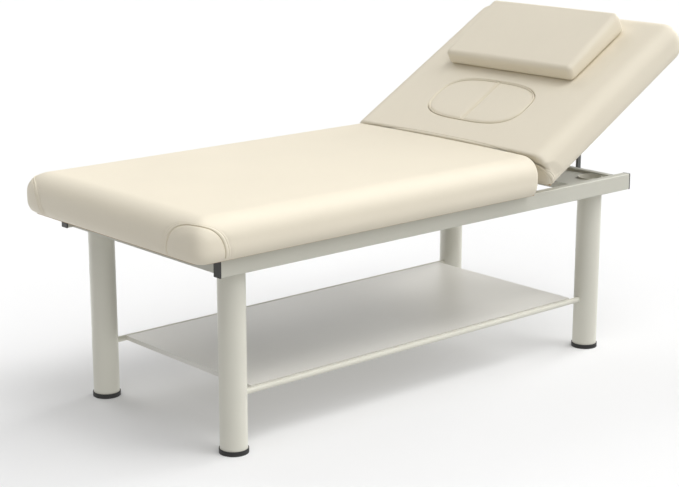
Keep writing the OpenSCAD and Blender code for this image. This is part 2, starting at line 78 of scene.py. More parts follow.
# ---- Room ------------------------------------------------------------------
# A plain white floor in a white studio: broad lamps all along the head end
# and the right side, weaker ones on the left, and a pale sky. Light from
# below the horizon stands for what the floor throws back.
FLOOR_SIZE = 160.0
FLOOR_WHITE = 0.70
FLOOR_GLOW = 0.12
SKY_LIGHT = 0.29
BOUNCE_LIGHT = 0.72
HORIZON_SOFT = 0.05              # half height of the band where sky turns into bounced light
LAMPS = (                        # name, turn and height in degrees, strength
    ("lamp_head_low", 0, 25, 1.65),
    ("lamp_overhead", -90, 72, 0.87),
    ("lamp_left", 90, 45, 0.51),
    ("lamp_head_right_high", -60, 55, 0.50),
    ("lamp_head_right", -60, 30, 0.49),
    ("lamp_head_low_right", -30, 25, 0.31),
    ("lamp_foot_high", -150, 60, 0.23),
    ("lamp_foot_right", -130, 35, 0.23),
    ("lamp_head_high", -30, 50, 0.16),
)
LAMP_SPREAD = math.radians(32)

bpy.context.scene.view_settings.view_transform = "Standard"
sky = bpy.data.worlds.new("sky")
bpy.context.scene.world = sky
sky.use_nodes = True
sky_nodes, sky_links = sky.node_tree.nodes, sky.node_tree.links
direction = sky_nodes.new("ShaderNodeTexCoord")
split = sky_nodes.new("ShaderNodeSeparateXYZ")
horizon = sky_nodes.new("ShaderNodeMapRange")
horizon.inputs["From Min"].default_value = -HORIZON_SOFT
horizon.inputs["From Max"].default_value = HORIZON_SOFT
horizon.inputs["To Min"].default_value = BOUNCE_LIGHT
horizon.inputs["To Max"].default_value = SKY_LIGHT
sky_links.new(direction.outputs["Generated"], split.inputs["Vector"])
sky_links.new(split.outputs["Z"], horizon.inputs["Value"])
sky_links.new(horizon.outputs["Result"], sky_nodes["Background"].inputs["Strength"])
sky_nodes["Background"].inputs["Color"].default_value = (1.0, 1.0, 1.0, 1)
for name, turn, height, strength in LAMPS:
    turn, height = math.radians(turn), math.radians(height)
    towards = Vector((math.cos(height) * math.cos(turn), math.cos(height) * math.sin(turn), math.sin(height)))
    light = bpy.data.lights.new(name, "SUN")
    light.energy = strength
    light.angle = LAMP_SPREAD
    lamp = add_object(name, light)
    lamp.rotation_mode = "QUATERNION"
    lamp.rotation_quaternion = towards.to_track_quat("Z", "Y")


def stage_sheet(name, corners, faces, white, glow, unseen_by):
    """A sheet of the room: the share of light it scatters, its own glow, and the kinds of ray that
    never meet it."""
    mesh = bpy.data.meshes.new(name)
    mesh.from_pydata(corners, [], faces)
    sheet = add_object(name, mesh)
    for ray in unseen_by:
        setattr(sheet, "visible_" + ray, False)
    paint = bpy.data.materials.new(name)
    paint.use_nodes = True
    shader = paint.node_tree.nodes["Principled BSDF"]
    for socket, value in (("Base Color", (white, white, white, 1)), ("Roughness", 0.9),
                          ("Specular IOR Level", 0.0), ("Emission Color", (1, 1, 1, 1)),
                          ("Emission Strength", glow)):
        shader.inputs[socket].default_value = value
    mesh.materials.append(paint)


half = FLOOR_SIZE / 2
stage_sheet("floor", [(-half, -half, 0), (half, -half, 0), (half, half, 0), (-half, half, 0)], [(0, 1, 2, 3)],
            FLOOR_WHITE, FLOOR_GLOW, ("diffuse", "glossy"))

# A low card behind the table shows only in reflections, as a sheen on the shelf.
CARD_GLOW = 1.7
CARD_PLACE = 0.75                # how far the card stands to the left of the table's middle
CARD_ENDS = (-1.2, 1.9)
CARD_EDGES = (0.02, 0.60)
stage_sheet("reflector_card", [(x, CARD_PLACE, z) for x, z in zip(CARD_ENDS + CARD_ENDS[::-1],
                                                                 np.repeat(CARD_EDGES, 2).tolist())],
            [(0, 1, 2, 3)], 0.0, CARD_GLOW, ("camera", "diffuse", "transmission", "shadow"))

# A round white wall shows only to the camera, and hides the horizon from a low view.
WALL_RADIUS, WALL_FOOT, WALL_TOP = 78.0, -1.0, 60.0
WALL_SIDES = 48
WALL_GLOW = 1.02
here = np.arange(WALL_SIDES)
ahead = np.roll(here, -1)
turn = here * 2 * np.pi / WALL_SIDES
ring = WALL_RADIUS * np.stack([np.cos(turn), np.sin(turn)], -1)
corners = np.concatenate([np.column_stack([ring, np.full(WALL_SIDES, high)]) for high in (WALL_FOOT, WALL_TOP)])
quads = np.stack([here, ahead, ahead + WALL_SIDES, here + WALL_SIDES], -1)
stage_sheet("white_wall", corners.tolist(), quads.tolist(), 0.0, WALL_GLOW,
            ("glossy", "diffuse", "transmission", "shadow"))

# ---- Seat cushion ----------------------------------------------------------
# A block of firm foam on a plywood board, pulled tight into one cream vinyl
# cover. The sides swell a little over the board and roll softly into the top.
# The foot corners are tight and the hinge end is a flat butt face.
CORNER = 0.070             # how far each corner's bend reaches along both sides
CORNER_POWER = 4.2         # squareness of the bend, where 2 is a quarter circle
SWELL = 0.0015             # how far the cover stands out past the foam block
SEAT_SHOULDER = (0.060, 0.056)   # how far the top edge rolls in and down
UNDER = (0.028, 0.042)     # how far the bottom edge rolls in and up
TOP_POWER, UNDER_POWER = 2.2, 2.3    # squareness of both rolls, where 2 is a quarter oval
BUTT_SIDE = (0.014, 0.010)  # length and depth of the side edge's roll at the butt end
BUTT_TOP = (0.010, 0.008)   # the same for the top edge
CROWN = 0.0025             # rise of the top in the middle, and fall at the sides
CROWN_RUN = 0.30           # how far from the round end the crown is full
TURN_UNDER = 0.055         # margin of cover turned under the board
UNDER_LIFT = 0.0025        # how far the board's underside sits above the margin
LIFT_RUN = 0.006           # width of the step between them
BUTT_LINES = 0.018         # length of the close grid lines at the butt end


class Wire:
    """One number or colour in a shader. + - * on wires and numbers add Math nodes."""

    def __init__(self, finish, socket):
        self.finish, self.socket = finish, socket

    def math(self, operation, a, b=0.0):
        return self.finish.node("Math", {"operation": operation}, a, b)

    def __add__(self, other):
        return self.math("ADD", self, other)

    def __radd__(self, other):
        return self.math("ADD", other, self)

    def __sub__(self, other):
        return self.math("SUBTRACT", self, other)

    def __rsub__(self, other):
        return self.math("SUBTRACT", other, self)

    def __mul__(self, other):
        return self.math("MULTIPLY", self, other)

    def __rmul__(self, other):
        return self.math("MULTIPLY", other, self)


class Finish:
    """A material built from wires, which starts as one Principled shader."""

    def __init__(self, name, **constants):
        self.material = bpy.data.materials.new(name)
        self.material.use_nodes = True
        self.nodes = self.material.node_tree.nodes
        self.links = self.material.node_tree.links
        self.shader = self.nodes["Principled BSDF"]
        for socket, value in constants.items():
            self.shader.inputs[socket.replace("_", " ")].default_value = value

    def put(self, socket, value):
        """Sets a socket to a number or colour, or links a wire to it."""
        if isinstance(value, Wire):
            self.links.new(value.socket, socket)
        else:
            socket.default_value = value

    def node(self, kind, settings=None, *values, out=0, **named):
        """Adds a shader node: its settings first, then its sockets by order and by name."""
        made = self.nodes.new("ShaderNode" + kind)
        for key, value in (settings or {}).items():
            setattr(made, key, value)
        for socket, value in zip(made.inputs, values):
            self.put(socket, value)
        for key, value in named.items():
            self.put(made.inputs[key.replace("_", " ")], value)
        return Wire(self, made.outputs[out])

    def mix(self, amount, a, b):
        """A colour between a and b."""
        made = self.nodes.new("ShaderNodeMix")
        made.data_type = "RGBA"
        factor, colour_a, colour_b, result = made.inputs[0], made.inputs[6], made.inputs[7], made.outputs[2]
        for socket, value in ((factor, amount), (colour_a, a), (colour_b, b)):
            self.put(socket, value)
        return Wire(self, result)

    def bump(self, height, distance, strength=1.0):
        """Feeds a height, scaled to metres by distance, into the shader's normal."""
        self.feed("Normal", self.node("Bump", None, Height=height, Distance=distance, Strength=strength))

    def feed(self, socket, value):
        self.put(self.shader.inputs[socket], value)

    def place(self):
        """Object coordinates, in metres."""
        return self.node("TexCoord", out=3)


def shade(colour, share):
    """A colour made darker or lighter, with its alpha."""
    return tuple(min(1.0, c * share) for c in colour) + (1,)


CREAM = (0.800, 0.735, 0.600)
VINYL_GRAIN = 0.00012      # height of the pressed grain


def vinyl_finish(name, colour):
    """Upholstery vinyl: fine pressed grain, faint mottling and an uneven satin gloss."""
    finish = Finish(name, Roughness=0.5, Specular_IOR_Level=0.32)
    place = finish.place()
    cells = finish.node("TexVoronoi", {"feature": "DISTANCE_TO_EDGE"}, Vector=place, Scale=520.0)
    pores = finish.node("TexNoise", None, Vector=place, Scale=1300.0, Detail=2.0)
    cloud = finish.node("TexNoise", None, Vector=place, Scale=6.0, Detail=3.0)
    drift = finish.node("TexNoise", None, Vector=place, Scale=38.0, Detail=4.0)
    grain = finish.node("Math", {"operation": "MINIMUM"}, cells * 5.0, 1.0)
    finish.feed("Base Color", finish.mix(cloud * 0.6 + drift * 0.25 + grain * 0.15, shade(colour, 0.95),
                                         shade(colour, 1.02)))
    finish.feed("Roughness", 0.46 + drift * 0.12 + cloud * 0.06 - grain * 0.05)
    finish.bump(grain * 0.7 + pores * 0.3, VINYL_GRAIN, 0.6)
    return finish.material


vinyl = vinyl_finish("cream_vinyl", CREAM)


def steps(*parts):
    """Numbers along one edge of a block: each part is (from, to, count), and parts share ends."""
    runs = [np.linspace(a, b, n + 1)[(0 if i == 0 else 1):] for i, (a, b, n) in enumerate(parts)]
    return np.concatenate(runs)


def block_skin(xs, ys, zs):
    """The outside of a block as one closed mesh of quads: six grids, joined along their edges."""
    points, quads, start = [], [], 0
    for axis, ends in enumerate(((xs[0], xs[-1]), (ys[0], ys[-1]), (zs[0], zs[-1]))):
        u, v = [(ys, zs), (zs, xs), (xs, ys)][axis]
        for end, value in enumerate(ends):
            grid_u, grid_v = np.meshgrid(u, v, indexing="ij")
            spot = [None] * 3
            spot[axis], spot[(axis + 1) % 3], spot[(axis + 2) % 3] = (
                np.full(grid_u.size, value), grid_u.ravel(), grid_v.ravel())
            index = np.arange(grid_u.size).reshape(grid_u.shape) + start
            quad = np.stack([index[:-1, :-1], index[1:, :-1], index[1:, 1:], index[:-1, 1:]], -1).reshape(-1, 4)
            points.append(np.stack(spot, -1))
            quads.append(quad if end else quad[:, ::-1])
            start += grid_u.size
    points, quads = np.concatenate(points), np.concatenate(quads)
    keys, index = np.unique(np.round(points, 6), axis=0, return_inverse=True)
    return keys, index.reshape(-1)[quads]


def piece(name, points, faces, material, body, replaces=()):
    """A smooth mesh object from arrays, which rides on a body and stands for CAD nodes."""
    mesh = bpy.data.meshes.new(name)
    mesh.from_pydata(points.tolist(), [], faces if isinstance(faces, list) else faces.tolist())
    mesh.polygons.foreach_set("use_smooth", np.ones(len(mesh.polygons), bool))
    mesh.materials.append(material)
    made = add_object(name, mesh)
    if replaces:
        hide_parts(*replaces)
    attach(made, body)
    return made


def round_corner(a, b, power):
    """A square corner turned into a round one: (a, b) in a unit square moves along its own ray,
    so that the square's outer edges land on the curve a^power + b^power = 1."""
    longest = np.maximum(a, b)
    length = (a ** power + b ** power) ** (1 / power)
    share = np.where(length > 0, longest / np.maximum(length, 1e-12), 1.0)
    return a * share, b * share


def edge_profile(rho, z, thick, shoulder):
    """How a cushion's side is rounded: rho is the distance out from the corner bend's start and z
    the height. The top edge becomes one quarter oval and the bottom edge another."""
    roll, drop = shoulder
    a, b = round_corner(np.clip((rho - CORNER + roll) / roll, 0, 1), np.clip((z - thick + drop) / drop, 0, 1),
                        TOP_POWER)
    top = np.where(rho > CORNER - roll, CORNER - roll + a * roll, rho), thick - drop + b * drop
    roll, low = UNDER
    a, b = round_corner(np.clip((rho - CORNER + roll) / roll, 0, 1), np.clip((low - z) / low, 0, 1), UNDER_POWER)
    bottom = np.where(rho > CORNER - roll, CORNER - roll + a * roll, rho), low - b * low
    upper, lower = z > thick - drop, z < low
    return (np.where(upper, top[0], np.where(lower, bottom[0], rho)),
            np.where(upper, top[1], np.where(lower, bottom[1], z)))


def cushion_shape(points, length, width, thick, shoulder):
    """Block points to cushion points: x runs from the round end to the butt end. In plan, a corner's
    square becomes a squared quarter oval, and in height the block's edges follow edge_profile. The
    top has a low crown. At the butt end the side and the top roll in along quarter ovals."""
    x, y, z = points.T
    dx = np.minimum(x - CORNER, 0)
    dy = np.sign(y) * np.maximum(np.abs(y) - (width / 2 - CORNER), 0)
    rho = np.maximum(np.abs(dx), np.abs(dy))
    reach = np.maximum((np.abs(dx) ** CORNER_POWER + np.abs(dy) ** CORNER_POWER) ** (1 / CORNER_POWER), 1e-12)
    inset = np.minimum(np.minimum(x, length - x), width / 2 - np.abs(y))
    out, z = edge_profile(rho, z, thick, shoulder)
    lift = UNDER_LIFT * np.clip((inset - TURN_UNDER + LIFT_RUN) / LIFT_RUN, 0, 1) * (z < 1e-6)
    x, y = x - dx + dx / reach * out, y - dy + dy / reach * out
    across = np.clip(np.abs(y) / (width / 2), 0, 1)
    along = np.clip(1 - x / CROWN_RUN, 0, 1)
    z = z + lift + CROWN * (1 - 2 * across ** 2) * (1 - along ** 2) * np.clip(z / thick, 0, 1) ** 2
    reach, depth = BUTT_SIDE
    t = np.clip((x - length + reach) / reach, 0, 1)
    y = y * (1 - depth / (width / 2) * (1 - np.sqrt(1 - t ** 2)))
    reach, depth = BUTT_TOP
    t = np.clip((x - length + reach) / reach, 0, 1)
    z = z - depth * (1 - np.sqrt(1 - t ** 2)) * (2 * z / thick - 1)
    return np.stack([x, y, z], -1)


def cushion_lines(length, width, thick, shoulder):
    """Where a cushion's grid lines run: close together over the rounded edges, wide elsewhere."""
    half, margin = width / 2, TURN_UNDER - LIFT_RUN
    xs = steps((0, margin, 18), (margin, TURN_UNDER, 2), (TURN_UNDER, CORNER, 6), (CORNER, CROWN_RUN, 24),
               (CROWN_RUN, length - TURN_UNDER, 60), (length - TURN_UNDER, length - margin, 2),
               (length - margin, length - BUTT_LINES, 8), (length - BUTT_LINES, length, 14))
    low = steps((-half, margin - half, 18), (margin - half, TURN_UNDER - half, 2),
                (TURN_UNDER - half, CORNER - half, 6))
    ys = np.concatenate([low, np.linspace(CORNER - half, half - CORNER, 61)[1:-1], -low[::-1]])
    zs = steps((0, UNDER[1], 14), (UNDER[1], thick - shoulder[1], 4), (thick - shoulder[1], thick, 18))
    return xs, ys, zs


seat_low, seat_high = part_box("seat_cover")
seat_len = seat_high.x - seat_low.x
seat_w = seat_high.y - seat_low.y + 2 * SWELL
seat_thick = seat_high.z - seat_low.z


def seat_surface(block):
    """From block points, x from the foot end, to the seat cushion on its rails."""
    shaped = cushion_shape(block, seat_len, seat_w, seat_thick, SEAT_SHOULDER)
    return shaped + np.array([seat_low.x, 0, seat_low.z])


# Corner patches: at each foot corner a D of vinyl is let into the cover. A
# welt with a sewn groove beside it runs round it, inside it a crease.
PATCH_SINK = 0.0035        # how far the cover is pressed in under a patch
SINK_END, SINK_RUN = 0.013, 0.006    # where the pressed part ends past the seam, and over what width
PATCH_BORDER = 0.015       # how far a patch piece reaches past its seam
PATCH_BAND = 0.010         # inside this distance its rings follow the seam
SEAM_WELT = (0.0016, 0.0085)         # height and width of the welt outside the seam
SEAM_CREASE = (0.0028, 0.0013, -0.0006)   # depth, half width and place of the crease
SEAM_GROOVE = (0.0009, 0.0009, 0.0092)    # the same for the sewn groove
SEAM_PUFF = (0.0016, 0.010)          # height of the panel inside, and the distance it rises over
SEAM_EDGE = (0.0010, 0.0105)         # fall of the border, and where it begins
SEAM_LIFT = 0.0005         # how far the whole patch stands off the skin


def patch_outline(count, reach_u, height, power):
    """Half a squared oval standing on the bottom edge, at even steps along its length: u is a
    cosine and v a sine raised to 2 / power, signs kept."""
    turn = np.linspace(0, np.pi, 4001)
    c, s = np.cos(turn), np.sin(turn)
    u, v = reach_u * np.sign(c) * np.abs(c) ** (2 / power), height * np.abs(s) ** (2 / power)
    walked = np.concatenate([[0], np.cumsum(np.hypot(np.diff(u), np.diff(v)))])
    even = np.linspace(0, walked[-1], count)
    return np.interp(even, walked, u), np.interp(even, walked, v)


def seam_relief(d):
    """Height of the patch above the cover's skin at a distance d outside its seam: half a sine for
    the welt, bell curves for the crease and the groove, and a panel that rises inside the seam."""
    high, width = SEAM_WELT
    welt = high * np.sin(np.clip(d / width, 0, 1) * np.pi) ** 0.8
    lines = sum(-deep * np.exp(-((d - middle) / width) ** 2) for deep, width, middle in (SEAM_CREASE, SEAM_GROOVE))
    high, run = SEAM_PUFF
    puff = high * (1 - np.exp(np.minimum(d, 0) / run))
    fall, begin = SEAM_EDGE
    edge = -fall * np.clip((d - begin) / (PATCH_BORDER - begin), 0, 1) ** 2
    return welt + lines + puff + edge + SEAM_LIFT


def surface_normal(surface, place, u, v):
    """Unit normals of a cushion over its wall coordinates, from differences on both sides."""
    step = 0.0012
    along = surface(place(u + step, v)) - surface(place(u - step, v))
    up = surface(place(u, v + step)) - surface(place(u, np.maximum(v - step, 0)))
    normal = np.cross(along, up)
    return normal / np.maximum(np.linalg.norm(normal, axis=-1, keepdims=True), 1e-12)


def wall_place(width, thick, sign):
    """Wall coordinates of a corner, as a function to block points: u runs along the side from the
    corner, or along the end where it is below nothing, and v runs up the wall. Past the top edge,
    v runs on over the top, along rays to the middle of the corner's bend."""
    def place(u, v):
        wall_x, wall_y = np.maximum(u, 0), width / 2 + np.minimum(u, 0)
        core_x, core_y = np.maximum(wall_x, CORNER), np.minimum(wall_y, width / 2 - CORNER)
        share = 1 - np.maximum(v - thick, 0) / CORNER
        return np.stack([core_x + (wall_x - core_x) * share, sign * (core_y + (wall_y - core_y) * share),
                         np.minimum(v, thick)], -1)
    return place


def wall_spot(block, width, thick, sign):
    """The other way: a block's skin points to wall coordinates, and which points have them."""
    x, y, z = block[:, 0], block[:, 1] * sign, block[:, 2]
    dx, dy = np.maximum(CORNER - x, 0), np.maximum(y - width / 2 + CORNER, 0)
    rho = np.maximum(dx, dy)
    known = (rho > 1e-5) & ((z > 1e-6) | (rho > CORNER - 1e-6)) & (y > 0)
    scale = CORNER / np.maximum(rho, 1e-5)
    on_side = dy >= dx
    u = np.where(on_side, np.maximum(x, CORNER) - dx * scale,
                 np.minimum(y, width / 2 - CORNER) + dy * scale - width / 2)
    return u, np.where(rho > CORNER - 1e-6, z, thick + CORNER - rho), known


def corner_patch(name, surface, place, outward, outline, material, body):
    """A patch laid on a cushion: rings run from the middle of the D's base out to its seam, and on
    across the welt at even distances from it. Each point stands off the skin by seam_relief."""
    centre, reach_u, height, power = outline
    count = int(60 + 900 * (reach_u + height))
    cu, cv = patch_outline(count, reach_u, height, power)
    tangent_u, tangent_v = np.gradient(cu), np.gradient(cv)
    size = np.hypot(tangent_u, tangent_v)
    nu, nv = tangent_v / size, -tangent_u / size
    nu[[0, -1]], nv[[0, -1]] = (1, -1), (0, 0)
    inner = np.array([0.03, 0.10, 0.18, 0.27, 0.36, 0.45, 0.54, 0.63, 0.71, 0.78, 0.84])
    base_u, base_v = cu - nu * PATCH_BAND, np.maximum(cv - nv * PATCH_BAND, 0)
    across = np.concatenate([np.linspace(-PATCH_BAND, -0.003, 6), np.linspace(-0.0022, 0.0022, 9),
                             np.linspace(0.003, 0.0085, 9), np.linspace(0.0088, 0.0100, 5),
                             np.linspace(0.0108, PATCH_BORDER, 4)])
    u = np.concatenate([inner[:, None] * base_u, cu + nu * across[:, None]]).ravel() + centre
    v = np.concatenate([inner[:, None] * base_v, np.maximum(cv + nv * across[:, None], 0)]).ravel()
    far_in = -PATCH_BAND - (1 - inner) * height
    d = np.repeat(np.concatenate([far_in, across]), count)
    points = surface(place(u, v)) + surface_normal(surface, place, u, v) * outward * seam_relief(d)[:, None]
    rows = len(inner) + len(across)
    index = np.arange(rows * count).reshape(rows, count)
    quads = np.stack([index[:-1, :-1], index[:-1, 1:], index[1:, 1:], index[1:, :-1]], -1).reshape(-1, 4)
    return piece(name, points, quads if outward > 0 else quads[:, ::-1], material, body)


def press_in(u, v, outline):
    """How far a point lies in a patch's outline, from 1 inside it to 0 past its border."""
    centre, reach_u, height, power = outline
    ring = (np.abs((u - centre) / reach_u) ** power + np.abs(v / height) ** power) ** (1 / power)
    return np.clip((SINK_END - (ring - 1) * height) / SINK_RUN, 0, 1)


# Each patch: its middle along the wall from the corner, half width, height and squareness.
SEAT_PATCHES = {"left": (0.022, 0.105, 0.109, 2.2), "right": (-0.022, 0.105, 0.109, 2.2)}
skin, quads = block_skin(*cushion_lines(seat_len, seat_w, seat_thick, SEAT_SHOULDER))
seat_points = seat_surface(skin)
for side, sign in (("left", 1), ("right", -1)):
    place, outline = wall_place(seat_w, seat_thick, sign), SEAT_PATCHES[side]
    u, v, known = wall_spot(skin, seat_w, seat_thick, sign)
    share = press_in(u, v, outline)
    sink = share * share * (3 - 2 * share) * known * PATCH_SINK
    seat_points = seat_points + surface_normal(seat_surface, place, u, v) * (sign * sink)[:, None]
    patch = corner_patch(f"seat_corner_patch_{side}", seat_surface, place, -sign, outline, vinyl, "frame")
seat = piece("seat_cushion", seat_points, quads, vinyl, "frame", ("seat_cover", "seat_foam"))

# ---- Backrest cushion ------------------------------------------------------
# The same making as the seat, with its round end at the head. An oval opening
# goes right through it, lined with the same vinyl down to the board's underside.
BACK_NODES = ("backrest_cover", "backrest_foam")
BACK_SHOULDER = (0.046, 0.046)


def flat_box(node):
    """A backrest node's box in the backrest's own frame: x from the hinge, z square to the board."""
    mesh = frame["nodes"][node].data
    co = np.empty(len(mesh.vertices) * 3, np.float32)
    mesh.vertices.foreach_get("co", co)
    spot = co.reshape(-1, 3) - np.array([hinge_x, 0, hinge_z])
    along = spot[:, 0] * math.cos(tilt) + spot[:, 2] * math.sin(tilt)
    up = spot[:, 2] * math.cos(tilt) - spot[:, 0] * math.sin(tilt)
    flat = np.stack([along, spot[:, 1], up], -1)
    return flat.min(0), flat.max(0)


def on_backrest(points):
    """From the backrest's own frame to its raised place: a turn about the hinge line."""
    x, y, z = np.asarray(points).T
    return np.stack([hinge_x + x * math.cos(tilt) - z * math.sin(tilt), y,
                     hinge_z + x * math.sin(tilt) + z * math.cos(tilt)], -1)


back_low, back_high = flat_box("backrest_cover")
back_len = back_high[0] - back_low[0]
back_w = back_high[1] - back_low[1] + 2 * SWELL
back_thick = back_high[2] - back_low[2]


def back_from_block(points):
    """From block points, x from the head end, to the backrest's own frame, x from the hinge."""
    shaped = cushion_shape(points, back_len, back_w, back_thick, BACK_SHOULDER)
    return np.stack([back_high[0] - shaped[:, 0], shaped[:, 1], shaped[:, 2] + back_low[2]], -1)


# The plugs' boxes give the opening's middle and size; both halves leave the same gap.
plug_low, plug_high = flat_box("plug_right_cover")
PLUG_GAP = 0.001
opening_s = (plug_low[0] + plug_high[0]) / 2
opening_a = (plug_high[0] - plug_low[0]) / 2 + PLUG_GAP
opening_b = -plug_low[1] + PLUG_GAP
OVAL_POWER = 3.0
LIP = 0.005                # radius of the rolled edge round the opening
WINDOW_X, WINDOW_Y = 0.022, 0.035    # margins of the window that is cut in the grid round the oval


def oval(t, a, b):
    """A squared oval: each coordinate is a cosine or sine raised to 2 / power, sign kept."""
    c, s = np.cos(t), np.sin(t)
    return (a * np.sign(c) * np.abs(c) ** (2 / OVAL_POWER), b * np.sign(s) * np.abs(s) ** (2 / OVAL_POWER))


def with_opening(skin, quads, centre_x, window_x, window_y, thick):
    """Cuts a window out of a block's top and bottom and fills each up to an oval, with a rolled lip
    and a lining between them. Rings run from the window's own grid points in to the oval."""
    middle = skin[quads].mean(1)
    inside = (np.abs(middle[:, 0] - centre_x) < window_x) & (np.abs(middle[:, 1]) < window_y)
    flat = (middle[:, 2] < 1e-6) | (middle[:, 2] > thick - 1e-6)
    quads = quads[~(inside & flat)]
    edge = np.abs(np.maximum(np.abs(skin[:, 0] - centre_x) - window_x, np.abs(skin[:, 1]) - window_y)) < 1e-5
    rings = []
    for height in (0.0, thick):
        ring = np.flatnonzero(edge & (np.abs(skin[:, 2] - height) < 1e-6))
        angle = np.arctan2(skin[ring, 1] / window_y, (skin[ring, 0] - centre_x) / window_x)
        rings.append(ring[np.argsort(angle)])
    count = len(rings[0])
    rim = skin[rings[1]][:, :2] - [centre_x, 0]
    # Each rim point looks for the oval point in its own direction.
    t = np.linspace(-np.pi, np.pi, 4001)
    ox, oy = oval(t, opening_a, opening_b)
    theta = np.arctan2(oy, ox)
    want = np.arctan2(rim[:, 1] * opening_b / window_y, rim[:, 0] * opening_a / window_x)
    t = np.interp(want, theta, t)
    ox, oy = oval(t, opening_a, opening_b)
    plan = np.stack([ox, oy], -1)
    size = np.array([opening_a, opening_b])
    normal = np.sign(plan) * np.abs(plan / size) ** (OVAL_POWER - 1) / size
    normal /= np.linalg.norm(normal, axis=1, keepdims=True)
    rows = [(rim * (1 - share) + (plan + normal * LIP) * share, thick) for share in np.linspace(0, 1, 15)[1:]]
    rows += [(plan + normal * LIP * (1 - math.sin(turn)), thick - LIP * (1 - math.cos(turn)))
             for turn in np.linspace(0, np.pi / 2, 7)[1:]]
    rows += [(plan, height) for height in np.linspace(thick - LIP, 0, 18)[1:]]
    rows += [(rim * (1 - share) + plan * share, 0.0) for share in np.linspace(1, 0, 8)[1:-1]]
    added = [np.column_stack([spot[:, 0] + centre_x, spot[:, 1], np.full(count, height)]) for spot, height in rows]
    fresh = len(skin) + np.arange(len(rows) * count).reshape(-1, count)
    index = np.concatenate([rings[1][None], fresh, rings[0][None]])
    after = np.roll(index, -1, axis=1)
    fill = np.stack([index[:-1], after[:-1], after[1:], index[1:]], -1).reshape(-1, 4)
    return np.concatenate([skin] + added), np.concatenate([quads, fill])


opening_x = back_high[0] - opening_s      # measured from the head end, as the block is
window_x, window_y = opening_a + WINDOW_X, opening_b + WINDOW_Y
xs, ys, zs = cushion_lines(back_len, back_w, back_thick, BACK_SHOULDER)
inner = steps((CORNER, opening_x - window_x, 24), (opening_x - window_x, opening_x + window_x, 40),
              (opening_x + window_x, back_len - TURN_UNDER, 1))
xs = np.concatenate([xs[xs < CORNER - 1e-9], inner, xs[xs > back_len - TURN_UNDER + 1e-9]])
half_w = back_w / 2
inner = steps((CORNER - half_w, -window_y, 10), (-window_y, window_y, 60), (window_y, half_w - CORNER, 10))
ys = np.concatenate([ys[ys < CORNER - half_w - 1e-9], inner, ys[ys > half_w - CORNER + 1e-9]])
skin, quads = block_skin(xs, ys, zs)
skin, quads = with_opening(skin, quads, opening_x, window_x, window_y, back_thick)


def back_surface(block):
    """From block points to the backrest cushion in its raised place."""
    return on_backrest(back_from_block(block))


def butt_place(u, v):
    """Wall coordinates of the butt end, to block points: u runs across it from the middle and on
    round its corners along the sides, and v runs up it and on over the top, along rays."""
    wall_x, wall_y = back_len - np.maximum(np.abs(u) - half_w, 0), np.minimum(np.abs(u), half_w)
    core_x, core_y = np.minimum(wall_x, back_len - CORNER), np.minimum(wall_y, half_w - CORNER)
    share = 1 - np.maximum(v - back_thick, 0) / CORNER
    return np.stack([core_x + (wall_x - core_x) * share, np.sign(u) * (core_y + (wall_y - core_y) * share),
                     np.minimum(v, back_thick)], -1)


# The end panel: the butt face is a panel of its own, and its welted seam runs up one side edge,
# along the top and down the other.
BUTT_PANEL = (0.0, half_w + 0.004, 0.106, 3.4)
BOARD_HIGH = 0.017               # below this the board's end lies close behind the cover
BOARD_SINK = 0.10                # share of the pressing that is left there
x, y, z = skin.T
dx, dy = np.maximum(x - back_len + CORNER, 0), np.maximum(np.abs(y) - half_w + CORNER, 0)
rho = np.maximum(dx, dy)
scale = CORNER / np.maximum(rho, 1e-5)
u = np.sign(y) * np.where(dx >= dy, np.minimum(np.abs(y), half_w - CORNER) + dy * scale,
                          half_w + back_len - np.minimum(x, back_len - CORNER) - dx * scale)
v = np.where(rho > CORNER - 1e-6, z, back_thick + CORNER - rho)
known = (rho > 1e-5) & ((z > 1e-6) | (rho > CORNER - 1e-6)) & (x > back_len / 2)
back_points = back_surface(skin)
past_board = np.clip((v - BOARD_HIGH) / SINK_RUN, 0, 1)
sink = press_in(u, v, BUTT_PANEL) * known * PATCH_SINK * (BOARD_SINK + (1 - BOARD_SINK) * past_board)
back_points = back_points + surface_normal(back_surface, butt_place, u, v) * sink[:, None]
back = piece("backrest_cushion", back_points, quads[:, ::-1], vinyl, "backrest", BACK_NODES)
panel = corner_patch("backrest_end_panel", back_surface, butt_place, -1, BUTT_PANEL, vinyl, "backrest")

# ---- Opening plugs ---------------------------------------------------------
# Two foam halves close the face opening and lift out one by one. Each has its
# own vinyl cover with a welt sewn round its top edge, so a double welt runs
# down the split between them.
PLUG_ROUND = 0.006         # corner radius where the oval meets the split
WELT = 0.0045              # width of the welt
WELT_HIGH = 0.0014         # how far the welt stands above the backrest
PLUG_DOME = 0.0034         # how far the middle of a plug swells above its crease
PLUG_CREASE = 0.0024       # how deep the crease inside the welt is
PLUG_RISE = 0.0012         # how far the plugs stand above the backrest, and their middle again
PLUG_POINTS = 260          # points along a plug's outline
plug_top = back_high[2] + PLUG_RISE
plug_deep = plug_high[2] - plug_low[2]


